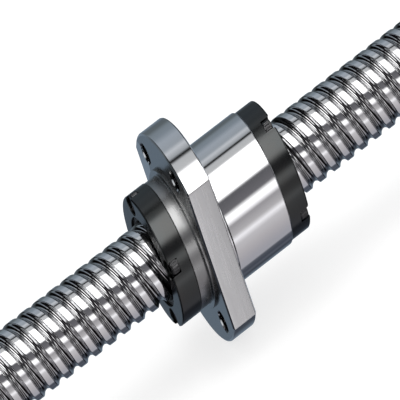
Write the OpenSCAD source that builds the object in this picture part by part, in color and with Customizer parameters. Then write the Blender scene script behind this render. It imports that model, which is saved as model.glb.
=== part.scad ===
// Ball screw assembly: a four-start ball screw shaft with a flanged ball nut, end caps with
// ball returns, and the support bearings that carry the shaft. Millimetres, +X along the screw
// axis, +Z along the long axis of the flange, origin on the axis at the flange mounting face.
// "Near" is the -X side, "far" the +X side.

/* [Screw shaft] */
// Outside diameter of the screw shaft
screw_d = 20; // [20:0.5:20.5]
// Axial travel of the nut per turn of the screw
lead = 20; // [18:1:22]
// Number of thread starts
starts = 4; // [4]
// Whole pitches from the flange face back to the first groove of the thread
thread_first = 17; // [17:1:19]
// Number of grooves met along the threaded part
thread_grooves = 36; // [36:1:38]
// Width of the plain collar that ends the thread on each side
collar_w = 6; // [6:0.5:7]

/* [Balls] */
// Diameter of the recirculating balls
ball_d = 2.381; // [2.30:0.01:2.40]
// Diameter of the circle that the ball centres run on
ball_circle_d = 20.4; // [20.3:0.05:20.5]
// Angle between neighbouring balls along a groove
ball_step = 13.5; // [13.5:0.5:18]

/* [Ball nut] */
// Diameter of the cylindrical nut body
body_d = 35; // [34.5:0.5:37]
// Length of the nut body from the mounting face to the far cap
body_l = 19.7; // [19:0.1:24]
// Diameter of the polished neck in front of the flange
neck_d = 33.6; // [33.4:0.1:34.4]
// Length of the neck
neck_l = 4.7; // [4.5:0.1:6]
// Diameter of the low step where the neck meets the flange
step_d = 36.6; // [36:0.1:37]
// Diameter of the flange
flange_d = 55; // [54:0.5:60]
// Thickness of the flange
flange_t = 8; // [8:0.5:10]
// Distance across the two parallel flats of the flange
flange_flats = 40.5; // [40:0.5:44]
// Diameter of the flange bolt circle
bolt_circle_d = 45; // [44.5:0.5:46]
// Angle of each bolt hole from the long axis of the flange
bolt_angle = 30; // [28:1:32]
// Diameter of the flange bolt holes
bolt_hole_d = 5.5; // [5:0.1:5.6]
// Core diameter of the lubrication port thread
lube_d = 5; // [4.5:0.1:5.2]

/* [End caps] */
// Diameter of the end caps
cap_d = 34; // [33.5:0.1:34.4]
// Thickness of the end caps
cap_t = 6.6; // [6.6:0.1:8]
// Angle of the first cap screw on the near cap, from the long axis of the flange
near_screw_angle = -11; // [-14:1:-8]
// Angle of the first cap screw on the far cap
far_screw_angle = 28.5; // [28:0.5:30]

/* [Support bearings] */
// Bore of the fixed-side bearings
fixed_bore = 12; // [12]
// Bore of the floating-side bearing
float_bore = 10; // [10]
// Diameter of the drive journal
drive_d = 10; // [8:0.5:10]
// Length of the drive journal
drive_l = 20; // [15:1:30]

/* [Hidden] */

over = 1;                              // how far a cutting tool runs past a face

// Raceways
pitch = lead / starts;
start_angle = 360 / starts;
ball_circle_r = ball_circle_d / 2;
ball_r = ball_d / 2;
lead_angle = atan(lead / (PI * ball_circle_d));
collar_r = screw_d / 2;
crest_r = collar_r - 0.05;             // thread crests sit just under the collar
screw_groove_r = ball_r + 0.12;        // groove corner radius about the ball centre line
nut_groove_r = ball_r + 0.13;
nut_minor_r = screw_d / 2 + 0.3;
screw_columns = 24;                    // columns of points round each helical solid
nut_columns = 32;

// Places along the nut
near_seat_x = -flange_t - neck_l;      // seat of the near cap
far_seat_x = body_l;                   // seat of the far cap
nut_thread_x = pitch * floor((near_seat_x - 6) / pitch);
nut_grooves = ceil((far_seat_x - nut_thread_x) / pitch) + 2;

// Ball returns and cap screws, by distance from the axis
return_r = 14.2;
return_hole_r = ball_r + 0.16;
return_angle = 13;
cap_screw_r = 15;
cap_screw_count = 4;

// Places along the shaft
thread_x = -pitch * thread_first;      // first groove centre, on the +Y side
near_collar_x = thread_x - 2;
far_collar_end = thread_x + pitch * thread_grooves + 2;
fixed_x = far_collar_end + 1.5;        // near face of the first fixed bearing
fixed_w = 8;
spacer_x = fixed_x + 2 * fixed_w;
spacer_w = 5;
locknut_x = spacer_x + spacer_w;
locknut_w = 8;
drive_x = locknut_x + locknut_w + 1.5;
drive_end = drive_x + drive_l;
float_w = 8;
float_end = near_collar_x - 1;         // far face of the floating bearing
float_x = float_end - float_w;
shaft_near_end = float_x - 5;
snap_groove_w = 1.1;                   // groove for the retaining ring

// ---- helpers -------------------------------------------------------------------------
// Place children at an angle about the axis, measured from +Z towards -Y
module at(angle) { rotate([angle, 0, 0]) children(); }

// Repeat children evenly about the axis
module around(count, first = 0) {
    for (k = [0 : count - 1]) at(first + 360 / count * k) children();
}

// Cylinder parallel to X, running to +X from x, its centre line at height z
module x_cylinder(x, z, r, length, fn = 48) {
    translate([x, 0, z]) rotate([0, 90, 0]) cylinder(r = r, h = length, $fn = fn);
}

// Revolve an outline given as [x, radius] points about the X axis
module revolve(outline) {
    rotate([0, 90, 0]) rotate_extrude($fn = 96) polygon([for (p = outline) [p[1], p[0]]]);
}

// Ring of rectangular section
module plain_ring(x0, x1, inner_r, outer_r) {
    revolve([[x0, inner_r], [x0, outer_r], [x1, outer_r], [x1, inner_r]]);
}

// Solid disc with a chamfer on its near edge
module near_chamfered_disc(x0, x1, r, chamfer) {
    revolve([[x0, 0], [x0, r - chamfer], [x0 + chamfer, r], [x1, r], [x1, 0]]);
}

// Point of the axial section of a helical raceway, as [x, radius], for a corner of the
// groove at corner_r from the ball centre line.
// side = -1 cuts the groove towards the axis (screw), +1 away from it (nut tool).
function groove_point(corner_r, angle, side) =
    let (radial = ball_circle_r + side * corner_r * cos(angle),
         tangential = corner_r * sin(angle) * sin(lead_angle))
    [corner_r * sin(angle) * cos(lead_angle) + lead / 360 * atan2(tangential, radial),
     sqrt(radial * radial + tangential * tangential)];

// Rows of one pitch: four chords of groove, then the land
rows_per_groove = 5;
function groove_rows(corner_r, land_r, side) =
    let (edge_angle = acos(side * (land_r - ball_circle_r) / corner_r))
    [for (k = [-2 : 2]) groove_point(corner_r, edge_angle * k / 2, side)];

// Closed helical solid, starting at x0. grow scales its radii.
// Each start begins its rows afresh, so both ends stay within one pitch of a plane.
module helical_body(corner_r, land_r, side, x0, grooves, columns, grow) {
    rows = groove_rows(corner_r, land_r, side);
    column_rows = rows_per_groove * grooves;
    start_columns = columns / starts;
    function point_x(i, j) = x0 + pitch * floor(j / rows_per_groove)
        + rows[j % rows_per_groove][0] + pitch * ((i % start_columns) / start_columns);
    function point_r(j) = rows[j % rows_per_groove][1] * grow;
    points = concat(
        [for (i = [0 : columns - 1]) for (j = [0 : column_rows - 1])
            let (a = 360 * i / columns)
            [point_x(i, j), point_r(j) * cos(a), point_r(j) * sin(a)]],
        [[x0 + 1, 0, 0], [x0 + pitch * grooves - 1, 0, 0]]);
    near_centre = columns * column_rows;
    far_centre = near_centre + 1;
    function id(i, j) = (i % columns) * column_rows + j;
    // rows skipped on passing from column i to the next, where a new start begins
    function skip(i) = ((i + 1) % start_columns == 0) ? rows_per_groove : 0;
    faces = concat(
        [for (i = [0 : columns - 1]) for (j = [0 : column_rows - 2 - skip(i)])
            [id(i, j), id(i, j + 1), id(i + 1, j + 1 + skip(i))]],
        [for (i = [0 : columns - 1]) for (j = [0 : column_rows - 2 - skip(i)])
            [id(i, j), id(i + 1, j + 1 + skip(i)), id(i + 1, j + skip(i))]],
        // near end: along each start's first row, then down the step between starts
        [for (i = [0 : columns - 1]) [near_centre, id(i, 0), id(i + 1, skip(i))]],
        [for (i = [0 : columns - 1]) if (skip(i) > 0) for (j = [0 : rows_per_groove - 1])
            [near_centre, id(i + 1, j + 1), id(i + 1, j)]],
        // far end
        [for (i = [0 : columns - 1])
            [far_centre, id(i + 1, column_rows - 1), id(i, column_rows - 1 - skip(i))]],
        [for (i = [0 : columns - 1]) if (skip(i) > 0) for (j = [0 : rows_per_groove - 1])
            [far_centre, id(i, column_rows - 2 - j), id(i, column_rows - 1 - j)]]);
    polyhedron(points = points, faces = faces, convexity = 10);
}

// ---- screw shaft -----------------------------------------------------------------------
collar_chamfer = 0.5;
shaft_end_chamfer = 0.8;
fixed_shoulder_r = 8;
float_shoulder_r = 7;
locknut_undercut_r = 5.6;              // just before the locknut
locknut_thread_r = fixed_bore / 2 - 0.05;
drive_relief_r = 5.35;                 // between locknut thread and drive journal
snap_groove_r = 4.7;
centre_hole_r = 1.25;
centre_hole_l = 5;

// Far collar, fixed bearing seat, locknut thread and drive journal
module far_shaft_end() {
    collar_start = far_collar_end - collar_w;
    fixed_r = fixed_bore / 2;
    revolve([[collar_start, 0], [collar_start, collar_r],
             [far_collar_end - collar_chamfer, collar_r],
             [far_collar_end, collar_r - collar_chamfer],
             [far_collar_end, fixed_shoulder_r], [fixed_x, fixed_shoulder_r],
             [fixed_x, fixed_r], [locknut_x - 1, fixed_r],
             [locknut_x - 1, locknut_undercut_r], [locknut_x, locknut_undercut_r],
             [locknut_x, locknut_thread_r], [drive_x - 1.2, locknut_thread_r],
             [drive_x - 0.6, drive_relief_r], [drive_x, drive_relief_r],
             [drive_x, drive_d / 2], [drive_end - shaft_end_chamfer, drive_d / 2],
             [drive_end, drive_d / 2 - shaft_end_chamfer], [drive_end, 0]]);
}

// Floating bearing seat, from inside the near collar to the near end
module near_shaft_end() {
    float_r = float_bore / 2;
    revolve([[near_collar_x + 1, 0], [near_collar_x + 1, float_shoulder_r],
             [float_end, float_shoulder_r], [float_end, float_r],
             [float_x, float_r], [float_x, snap_groove_r],
             [float_x - snap_groove_w, snap_groove_r], [float_x - snap_groove_w, float_r],
             [shaft_near_end + shaft_end_chamfer, float_r],
             [shaft_near_end, float_r - shaft_end_chamfer], [shaft_near_end, 0]]);
}

module screw_shaft() {
    color("silver") difference() {
        union() {
            helical_body(screw_groove_r, crest_r, -1, thread_x, thread_grooves,
                         screw_columns, 1);
            near_chamfered_disc(near_collar_x, near_collar_x + collar_w, collar_r,
                                collar_chamfer);
            far_shaft_end();
            near_shaft_end();
        }
        // centre holes in both shaft ends
        translate([drive_end, 0, 0]) rotate([0, -90, 0])
            cylinder(r = centre_hole_r, h = centre_hole_l, $fn = 48);
        x_cylinder(shaft_near_end, 0, centre_hole_r, centre_hole_l);
    }
}

// ---- ball nut --------------------------------------------------------------------------
neck_chamfer = 0.3;
step_h = 0.9;
step_chamfer = 0.2;
flange_chamfer = 0.6;
body_chamfer = 0.5;
flange_overlap = 0.5;                  // neck, step and body run this far into the flange
tapped_hole_r = 1.3;
tapped_hole_depth = 5;
lube_port_y = 16.6;                    // floor of the lubrication port
lube_port_l = 10;
lube_feed_y = 9.5;                     // inner end of the feed drilling
lube_feed_l = 7.6;
lube_feed_r = 0.9;

module flange() {
    r = flange_d / 2;
    intersection() {
        revolve([[-flange_t, 0], [-flange_t, r - flange_chamfer],
                 [-flange_t + flange_chamfer, r], [-flange_chamfer, r],
                 [0, r - flange_chamfer], [0, 0]]);
        translate([-flange_t - over, -flange_flats / 2, -flange_d])
            cube([flange_t + 2 * over, flange_flats, 2 * flange_d]);
    }
}

module nut_blank() {
    join_x = -flange_t + flange_overlap;
    near_chamfered_disc(near_seat_x, join_x, neck_d / 2, neck_chamfer);
    near_chamfered_disc(-flange_t - step_h, join_x, step_d / 2, step_chamfer);
    flange();
    revolve([[-flange_overlap, 0], [-flange_overlap, body_d / 2],
             [far_seat_x - body_chamfer, body_d / 2],
             [far_seat_x, body_d / 2 - body_chamfer], [far_seat_x, 0]]);
}

module nut_body() {
    color("gainsboro") difference() {
        union() nut_blank();
        // radii grown so that the flats of the tool lie outside the true raceway
        helical_body(nut_groove_r, nut_minor_r, 1, nut_thread_x, nut_grooves,
                     nut_columns, 1 / cos(180 / nut_columns));
        // ball return passages, one for each start
        around(starts, return_angle)
            x_cylinder(near_seat_x - over, return_r, return_hole_r,
                       far_seat_x - near_seat_x + 2 * over);
        // tapped holes for the cap screws
        around(cap_screw_count, near_screw_angle)
            x_cylinder(near_seat_x - over, cap_screw_r, tapped_hole_r,
                       tapped_hole_depth + over);
        around(cap_screw_count, far_screw_angle)
            x_cylinder(far_seat_x - tapped_hole_depth, cap_screw_r, tapped_hole_r,
                       tapped_hole_depth + over);
        // flange bolt holes
        for (angle = [bolt_angle, -bolt_angle, 180 - bolt_angle, 180 + bolt_angle]) at(angle)
            x_cylinder(-flange_t - over, bolt_circle_d / 2, bolt_hole_d / 2,
                       flange_t + 2 * over, fn = 64);
        // lubrication port in the flat on the +Y side, with its feed drilling
        translate([-flange_t / 2, lube_port_y, 0]) rotate([-90, 0, 0])
            cylinder(r = lube_d / 2, h = lube_port_l, $fn = 48);
        translate([-flange_t / 2, lube_feed_y, 0]) rotate([-90, 0, 0])
            cylinder(r = lube_feed_r, h = lube_feed_l, $fn = 32);
    }
}

// ---- end caps, wipers and cap screws -----------------------------------------------------
// Each is drawn with the cap's seat at x = 0 and its outside towards +X.
cap_bore_r = screw_d / 2 + 0.35;
cap_chamfer = 0.5;
wiper_recess_x = 3.7;
wiper_recess_r = 11.75;
wiper_gap = 0.05;                      // between the wiper and its recess
wiper_bore_r = screw_d / 2 + 0.2;
wiper_end = 5.9;
screw_pocket_r = 2.7;
screw_pocket_depth = 3.2;
screw_clearance_r = 1.4;
screw_head_r = 2.25;
screw_head_l = 2.5;
screw_head_inset = 3.15;               // underside of the head, below the cap's outer face
screw_shank_r = 1.25;
screw_reach = 4;                       // how far the shank enters the nut
screw_socket_r = 1.15;
screw_socket_inset = 1.95;             // floor of the socket, below the cap's outer face

module at_near_seat() { translate([near_seat_x, 0, 0]) mirror([1, 0, 0]) children(); }
module at_far_seat() { translate([far_seat_x, 0, 0]) children(); }

// Angle at which the first groove arrives at a seat, from +Z towards -Y
function seat_groove_angle(seat_x) = 360 * seat_x / lead - 90;

// Position across the axis, as [y, z]
function across(r, angle) = [-r * sin(angle), r * cos(angle)];

// groove_angle is where the first groove arrives at the seat, and turn_sign the way its
// balls turn to reach the return hole.
module cap_shape(screw_angle, groove_angle, turn_sign) {
    turn = ((turn_sign * (return_angle - groove_angle)) % start_angle + start_angle)
        % start_angle;
    difference() {
        revolve([[0, cap_bore_r], [0, cap_d / 2], [cap_t - cap_chamfer, cap_d / 2],
                 [cap_t, cap_d / 2 - cap_chamfer], [cap_t, wiper_recess_r],
                 [wiper_recess_x, wiper_recess_r], [wiper_recess_x, cap_bore_r]]);
        around(cap_screw_count, screw_angle) {
            // pocket for the screw head, open at the rim, and its clearance hole
            x_cylinder(cap_t - screw_pocket_depth, cap_screw_r, screw_pocket_r, 4);
            x_cylinder(-over, cap_screw_r, screw_clearance_r, 8);
        }
        for (k = [0 : starts - 1]) {
            angle = groove_angle + start_angle * k;
            from = across(ball_circle_r, angle);
            to = across(return_r, angle + turn_sign * turn);
            path = to - from;
            // passage across the cap from the groove to the return hole
            translate([return_hole_r + 0.15, from[0], from[1]])
                rotate([atan2(path[1], path[0]), 0, 0]) rotate([-90, 0, 0])
                cylinder(r = return_hole_r, h = norm(path), $fn = 48);
            translate([-over, to[0], to[1]]) rotate([0, 90, 0])
                cylinder(r = return_hole_r + 0.1, h = 4.1, $fn = 48);
        }
    }
}
module near_end_cap() {
    color("#2c3130") at_near_seat()
        cap_shape(near_screw_angle, seat_groove_angle(near_seat_x), -1);
}
module far_end_cap() {
    color("#2c3130") at_far_seat()
        cap_shape(far_screw_angle, seat_groove_angle(far_seat_x), 1);
}

module wiper_shape() {
    x0 = wiper_recess_x + wiper_gap;
    outer_r = wiper_recess_r - wiper_gap;
    revolve([[x0, wiper_bore_r], [x0, outer_r], [wiper_end, outer_r],
             [wiper_end, wiper_bore_r + 0.4], [wiper_end - 0.7, wiper_bore_r]]);
}
module near_wiper() { color("dimgray") at_near_seat() wiper_shape(); }
module far_wiper() { color("dimgray") at_far_seat() wiper_shape(); }

module cap_screw() {
    difference() {
        union() {
            x_cylinder(cap_t - screw_head_inset, 0, screw_head_r, screw_head_l);
            x_cylinder(-screw_reach, 0, screw_shank_r, cap_t + 1);
        }
        x_cylinder(cap_t - screw_socket_inset, 0, screw_socket_r, 3, fn = 6);
    }
}
module cap_screw_set(first_angle) {
    around(cap_screw_count, first_angle) translate([0, 0, cap_screw_r]) cap_screw();
}
module near_cap_screws() { color("#55595c") at_near_seat() cap_screw_set(near_screw_angle); }
module far_cap_screws() { color("#55595c") at_far_seat() cap_screw_set(far_screw_angle); }

// ---- recirculating balls -----------------------------------------------------------------
// Balls under load, in the grooves between the caps
module load_balls() {
    step_x = lead * ball_step / 360;
    end_margin = ball_r + 0.06;
    first = ceil((near_seat_x + end_margin) / step_x);
    last = floor((far_seat_x - end_margin) / step_x);
    color("lightsteelblue") for (k = [0 : starts - 1]) for (i = [first : last]) {
        a = ball_step * i + start_angle * k;
        translate([step_x * i, ball_circle_r * cos(a), ball_circle_r * sin(a)])
            sphere(r = ball_r, $fn = 16);
    }
}

// Balls on their way back through the drilled passages
module return_balls() {
    passage_l = far_seat_x - near_seat_x;
    end_margin = 1.5;
    count = floor((passage_l - 1) / (ball_d + 0.12));
    spacing = (passage_l - 2 * end_margin) / (count - 1);
    color("lightsteelblue") around(starts, return_angle)
        for (i = [0 : count - 1])
            translate([near_seat_x + end_margin + i * spacing, 0, return_r])
                sphere(r = ball_r, $fn = 16);
}

// ---- bearing parts -----------------------------------------------------------------------
shoulder_ratio = 0.62;                 // race shoulder from the pitch circle, in ball radii

module race_groove(x, pitch_r, ball_r) {
    translate([x, 0, 0]) rotate([0, 90, 0]) rotate_extrude($fn = 96)
        translate([pitch_r, 0]) circle(r = ball_r + 0.05, $fn = 48);
}
module outer_ring(x0, width, outer_r, pitch_r, ball_r) {
    chamfer = 0.3;
    x1 = x0 + width;
    shoulder_r = pitch_r + ball_r * shoulder_ratio;
    difference() {
        revolve([[x0, shoulder_r], [x0, outer_r - chamfer], [x0 + chamfer, outer_r],
                 [x1 - chamfer, outer_r], [x1, outer_r - chamfer], [x1, shoulder_r]]);
        race_groove(x0 + width / 2, pitch_r, ball_r);
    }
}
module inner_ring(x0, width, bore, pitch_r, ball_r) {
    difference() {
        plain_ring(x0, x0 + width, bore / 2 + 0.01, pitch_r - ball_r * shoulder_ratio);
        race_groove(x0 + width / 2, pitch_r, ball_r);
    }
}
module ball_ring(x, pitch_r, ball_r, count) {
    around(count) translate([x, 0, pitch_r]) sphere(r = ball_r, $fn = 20);
}
module cage(x, pitch_r, ball_r, count, width) {
    difference() {
        plain_ring(x - width / 2, x + width / 2, pitch_r - 0.55, pitch_r + 0.55);
        ball_ring(x, pitch_r, ball_r + 0.08, count);
    }
}
// One seal set in from each of the end faces x0 and x1
module seal_pair(x0, x1, inner_r, outer_r) {
    inset = 0.35;
    depth = 0.95;
    plain_ring(x0 + inset, x0 + depth, inner_r, outer_r);
    plain_ring(x1 - depth, x1 - inset, inner_r, outer_r);
}

// ---- fixed side: two angular contact bearings, spacer and locknut ------------------------
fixed_outer_r = 14;
fixed_pitch_r = 10;
fixed_ball_r = 2;
fixed_ball_count = 12;
fixed_mid_xs = [fixed_x + fixed_w / 2, fixed_x + 1.5 * fixed_w];

module fixed_outer_ring(x) {
    color("silver") outer_ring(x, fixed_w, fixed_outer_r, fixed_pitch_r, fixed_ball_r);
}
module fixed_inner_ring(x) {
    color("silver") inner_ring(x, fixed_w, fixed_bore, fixed_pitch_r, fixed_ball_r);
}
module fixed_outer_ring_1() { fixed_outer_ring(fixed_x); }
module fixed_outer_ring_2() { fixed_outer_ring(fixed_x + fixed_w); }
module fixed_inner_ring_1() { fixed_inner_ring(fixed_x); }
module fixed_inner_ring_2() { fixed_inner_ring(fixed_x + fixed_w); }
module fixed_bearing_balls() {
    color("lightsteelblue") for (x = fixed_mid_xs)
        ball_ring(x, fixed_pitch_r, fixed_ball_r, fixed_ball_count);
}
module fixed_cages() {
    color("peru") for (x = fixed_mid_xs)
        cage(x, fixed_pitch_r, fixed_ball_r, fixed_ball_count, width = 5);
}
module fixed_seals() { color("#26282b") seal_pair(fixed_x, spacer_x, 8.95, 11.18); }

module clamp_spacer() {
    bore_r = fixed_bore / 2 + 0.01;
    outer_r = 8.5;
    chamfer = 0.3;
    x1 = spacer_x + spacer_w;
    color("silver") revolve([[spacer_x, bore_r], [spacer_x, outer_r - chamfer],
        [spacer_x + chamfer, outer_r], [x1 - chamfer, outer_r], [x1, outer_r - chamfer],
        [x1, bore_r]]);
}

locknut_r = 12;
set_screw_x = locknut_x + locknut_w / 2;
set_screw_angle = 45;
module locknut() {
    bore_r = fixed_bore / 2;
    x1 = locknut_x + locknut_w;
    slot_w = 4;
    color("#3a3d40") difference() {
        revolve([[locknut_x, bore_r], [locknut_x, locknut_r - 0.4],
                 [locknut_x + 0.4, locknut_r], [x1 - 0.6, locknut_r],
                 [x1, locknut_r - 0.6], [x1, bore_r + 0.5], [x1 - 0.5, bore_r]]);
        // spanner slots
        around(4) translate([locknut_x - over, -slot_w / 2, 10.2])
            cube([locknut_w + 2 * over, slot_w, 3]);
        // tapped holes for the set screws
        around(2, set_screw_angle) translate([set_screw_x, 0, bore_r])
            cylinder(r = 1.55, h = 8, $fn = 48);
    }
}
module locknut_set_screws() {
    color("#4c5054") around(2, set_screw_angle)
        translate([set_screw_x, 0, 6.2]) difference() {
            cylinder(r = 1.5, h = 5, $fn = 48);
            translate([0, 0, 3.4]) cylinder(r = 0.85, h = 3, $fn = 6);
        }
}

// ---- floating side: one deep groove bearing held by a retaining ring ---------------------
float_outer_r = 13;
float_pitch_r = 9;
float_ball_r = 2.2;
float_ball_count = 8;

module float_outer_ring() {
    color("silver") outer_ring(float_x, float_w, float_outer_r, float_pitch_r, float_ball_r);
}
module float_inner_ring() {
    color("silver") inner_ring(float_x, float_w, float_bore, float_pitch_r, float_ball_r);
}
module float_bearing_balls() {
    color("lightsteelblue")
        ball_ring(float_x + float_w / 2, float_pitch_r, float_ball_r, float_ball_count);
}
module float_cage() {
    color("peru")
        cage(float_x + float_w / 2, float_pitch_r, float_ball_r, float_ball_count, width = 5.2);
}
module float_seals() { color("#26282b") seal_pair(float_x, float_end, 7.85, 10.3); }

// Open ring with a pierced lug on each side of its gap
module retaining_ring() {
    thickness = 1;
    lug_angle = 15;
    color("#3a3d40") translate([float_x - (snap_groove_w + thickness) / 2, 0, 0])
        rotate([0, 90, 0]) linear_extrude(thickness) difference() {
            union() {
                circle(r = 6.4, $fn = 96);
                for (s = [-1, 1]) rotate(s * lug_angle) translate([7, 0])
                    circle(r = 1.5, $fn = 48);
            }
            circle(r = 4.75, $fn = 96);
            // wedge that opens the gap
            polygon([[0, 0], [12, -1.1], [12, 1.1]]);
            for (s = [-1, 1]) rotate(s * lug_angle) translate([7.2, 0])
                circle(r = 0.6, $fn = 32);
        }
}

nut_body();
near_end_cap();
far_end_cap();
near_wiper();
far_wiper();
near_cap_screws();
far_cap_screws();
load_balls();
return_balls();
screw_shaft();
fixed_inner_ring_1();
fixed_inner_ring_2();
clamp_spacer();
locknut();
locknut_set_screws();
float_inner_ring();
retaining_ring();
fixed_outer_ring_1();
fixed_outer_ring_2();
fixed_seals();
float_outer_ring();
float_seals();
fixed_bearing_balls();
fixed_cages();
float_bearing_balls();
float_cage();
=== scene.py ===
"""Ball screw with a flanged nut, end bearings and shaft hardware.

The screw axis is X, with the floating end at -X and the driven end at +X. Z is up and the
camera stands on the -Y side. The nut's mounting face is at x = 0. Lengths are in millimetres
unless a comment says metres; MM turns them into metres. Angles round the axis run from +Z
towards -Y. "side" is +1 for a part that faces +X, or lies outside the ball circle, else -1.
"""
import math
from collections import namedtuple
from functools import cached_property

import bmesh
import bpy
import numpy as np
from mathutils import Matrix, Vector


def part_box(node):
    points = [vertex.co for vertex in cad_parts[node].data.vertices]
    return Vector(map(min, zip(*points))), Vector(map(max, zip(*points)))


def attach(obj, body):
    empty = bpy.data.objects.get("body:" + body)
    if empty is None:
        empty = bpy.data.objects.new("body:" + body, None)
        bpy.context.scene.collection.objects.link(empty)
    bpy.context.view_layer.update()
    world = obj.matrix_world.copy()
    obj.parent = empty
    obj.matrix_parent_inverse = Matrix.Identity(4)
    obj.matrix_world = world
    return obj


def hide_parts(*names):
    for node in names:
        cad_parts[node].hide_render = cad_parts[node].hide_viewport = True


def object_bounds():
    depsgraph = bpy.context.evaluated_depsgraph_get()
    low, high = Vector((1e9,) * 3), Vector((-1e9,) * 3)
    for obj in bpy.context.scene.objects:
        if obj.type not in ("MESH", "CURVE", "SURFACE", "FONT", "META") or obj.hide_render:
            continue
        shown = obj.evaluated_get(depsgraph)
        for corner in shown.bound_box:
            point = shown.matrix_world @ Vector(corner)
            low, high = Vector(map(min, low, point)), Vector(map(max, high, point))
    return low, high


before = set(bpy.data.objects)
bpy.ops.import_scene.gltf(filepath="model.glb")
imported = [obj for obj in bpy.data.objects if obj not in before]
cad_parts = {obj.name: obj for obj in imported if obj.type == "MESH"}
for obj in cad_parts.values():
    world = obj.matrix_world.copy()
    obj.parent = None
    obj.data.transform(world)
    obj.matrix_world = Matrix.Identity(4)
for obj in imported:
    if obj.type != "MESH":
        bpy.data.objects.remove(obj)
cad_box = [list(c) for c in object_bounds()]
MM = 0.001
scene = bpy.context.scene

# ball track, shared by the screw and the nut
LEAD, STARTS = 20.0, 4
PITCH = LEAD / STARTS
BALL_CIRCLE = 10.2
BALL_RADIUS = 2.381 / 2
LEAD_ANGLE = math.atan(LEAD / (math.pi * 2 * BALL_CIRCLE))


def mm_box(node):
    low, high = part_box(node)
    return [c / MM for c in low], [c / MM for c in high]


# ------------------------------------------------------------------ objects from meshes
MERGE_DISTANCE = 2e-7         # metres
DEGENERATE_DISTANCE = 1e-7    # metres


def mesh_object(name, verts, faces):
    mesh = bpy.data.meshes.new(name)
    mesh.from_pydata([tuple(c * MM for c in v) for v in verts], [], faces)
    mesh.validate()
    return link_object(name, mesh)


def link_object(name, data):
    ob = bpy.data.objects.new(name, data)
    scene.collection.objects.link(ob)
    return ob


def clean(mesh, dissolve):
    """Merges doubled vertices and turns the faces outwards."""
    bm = bmesh.new()
    bm.from_mesh(mesh)
    bmesh.ops.remove_doubles(bm, verts=bm.verts, dist=MERGE_DISTANCE)
    if dissolve:
        bmesh.ops.dissolve_degenerate(bm, edges=bm.edges, dist=DEGENERATE_DISTANCE)
    bmesh.ops.recalc_face_normals(bm, faces=bm.faces)
    bm.to_mesh(mesh)
    bm.free()


def tidy(ob, smooth_angle=28):
    """Cleans a visible mesh and shades it smooth, with sharp edges above the angle."""
    clean(ob.data, dissolve=True)
    ob.data.polygons.foreach_set("use_smooth", [True] * len(ob.data.polygons))
    ob.data.set_sharp_from_angle(angle=math.radians(smooth_angle))
    ob.data.update()


def visual(node, verts, faces, materials, smooth_angle=32):
    ob = mesh_object(f"{node}_visual", verts, faces)
    for material in materials:
        ob.data.materials.append(material)
    tidy(ob, smooth_angle)
    return ob


def register(ob, node, body, weighted=True):
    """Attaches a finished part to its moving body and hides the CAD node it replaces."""
    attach(ob, body)
    if weighted:
        mod = ob.modifiers.new("weighted", "WEIGHTED_NORMAL")
        mod.keep_sharp = True
        mod.weight = 80
    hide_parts(node)


# ------------------------------------------------------------------ profiles and solids
def fillet(points, steps=4, closed=True):
    """Rounds the corners of a profile. A point is (x, r) or (x, r, corner radius)."""
    out = []
    n = len(points)
    for i, point in enumerate(points):
        wanted = point[2] if len(point) > 2 else 0
        if wanted <= 0 or (not closed and i in (0, n - 1)):
            out.append((point[0], point[1]))
            continue
        before = np.array(points[i - 1][:2], float)
        corner = np.array(point[:2], float)
        after = np.array(points[(i + 1) % n][:2], float)
        u, v = (before - corner), (after - corner)
        length_u, length_v = np.linalg.norm(u), np.linalg.norm(v)
        u, v = u / length_u, v / length_v
        angle = math.acos(max(-1, min(1, float(u @ v))))
        tangent = min(wanted / math.tan(angle / 2), length_u * 0.49, length_v * 0.49)
        radius = tangent * math.tan(angle / 2)
        bisector = (u + v) / np.linalg.norm(u + v)
        centre = corner + bisector * (radius / math.sin(angle / 2))
        start, end = corner + u * tangent - centre, corner + v * tangent - centre
        a0, a1 = math.atan2(start[1], start[0]), math.atan2(end[1], end[0])
        sweep = (a1 - a0 + math.pi) % (2 * math.pi) - math.pi
        for k in range(steps + 1):
            a = a0 + sweep * k / steps
            out.append((centre[0] + radius * math.cos(a), centre[1] + radius * math.sin(a)))
    return out


def shifted(profile, origin, side=1):
    """Places a profile at an origin on X, running towards side * X."""
    return [(origin + side * p[0], *p[1:]) for p in profile]


def distinct(loop):
    return list(dict.fromkeys(loop))


def revolve(profile, segments, closed=False, ripple=None):
    """Revolves (x, r) about X. A closed profile is a ring, an open one runs axis to axis."""
    verts, faces, rings = [], [], []
    for x, r in profile:
        if r < 1e-6:
            verts.append((x, 0, 0))
            rings.append([len(verts) - 1] * segments)
            continue
        ring = []
        for i in range(segments):
            a = 2 * math.pi * i / segments
            radius = r + (ripple(x, r, i) if ripple else 0)
            verts.append((x, -radius * math.sin(a), radius * math.cos(a)))
            ring.append(len(verts) - 1)
        rings.append(ring)
    count = len(rings)
    for k in range(count if closed else count - 1):
        p, q = rings[k], rings[(k + 1) % count]
        for i in range(segments):
            j = (i + 1) % segments
            face = distinct([p[i], p[j], q[j], q[i]])
            if len(face) > 2:
                faces.append(face)
    return verts, faces


def turned_ring(node, profile, material, body, segments=128):
    """A complete part with a closed profile and no cuts."""
    verts, faces = revolve(fillet(profile), segments, closed=True)
    ob = visual(node, verts, faces, [material])
    register(ob, node, body)


def loft_faces(n, rings):
    """Side faces and two caps for rings of n vertices each."""
    faces = []
    for k in range(rings - 1):
        for i in range(n):
            j = (i + 1) % n
            faces.append([k * n + i, k * n + j, (k + 1) * n + j, (k + 1) * n + i])
    faces.append(list(range(n)))
    faces.append([(rings - 1) * n + i for i in range(n)][::-1])
    return faces


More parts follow.
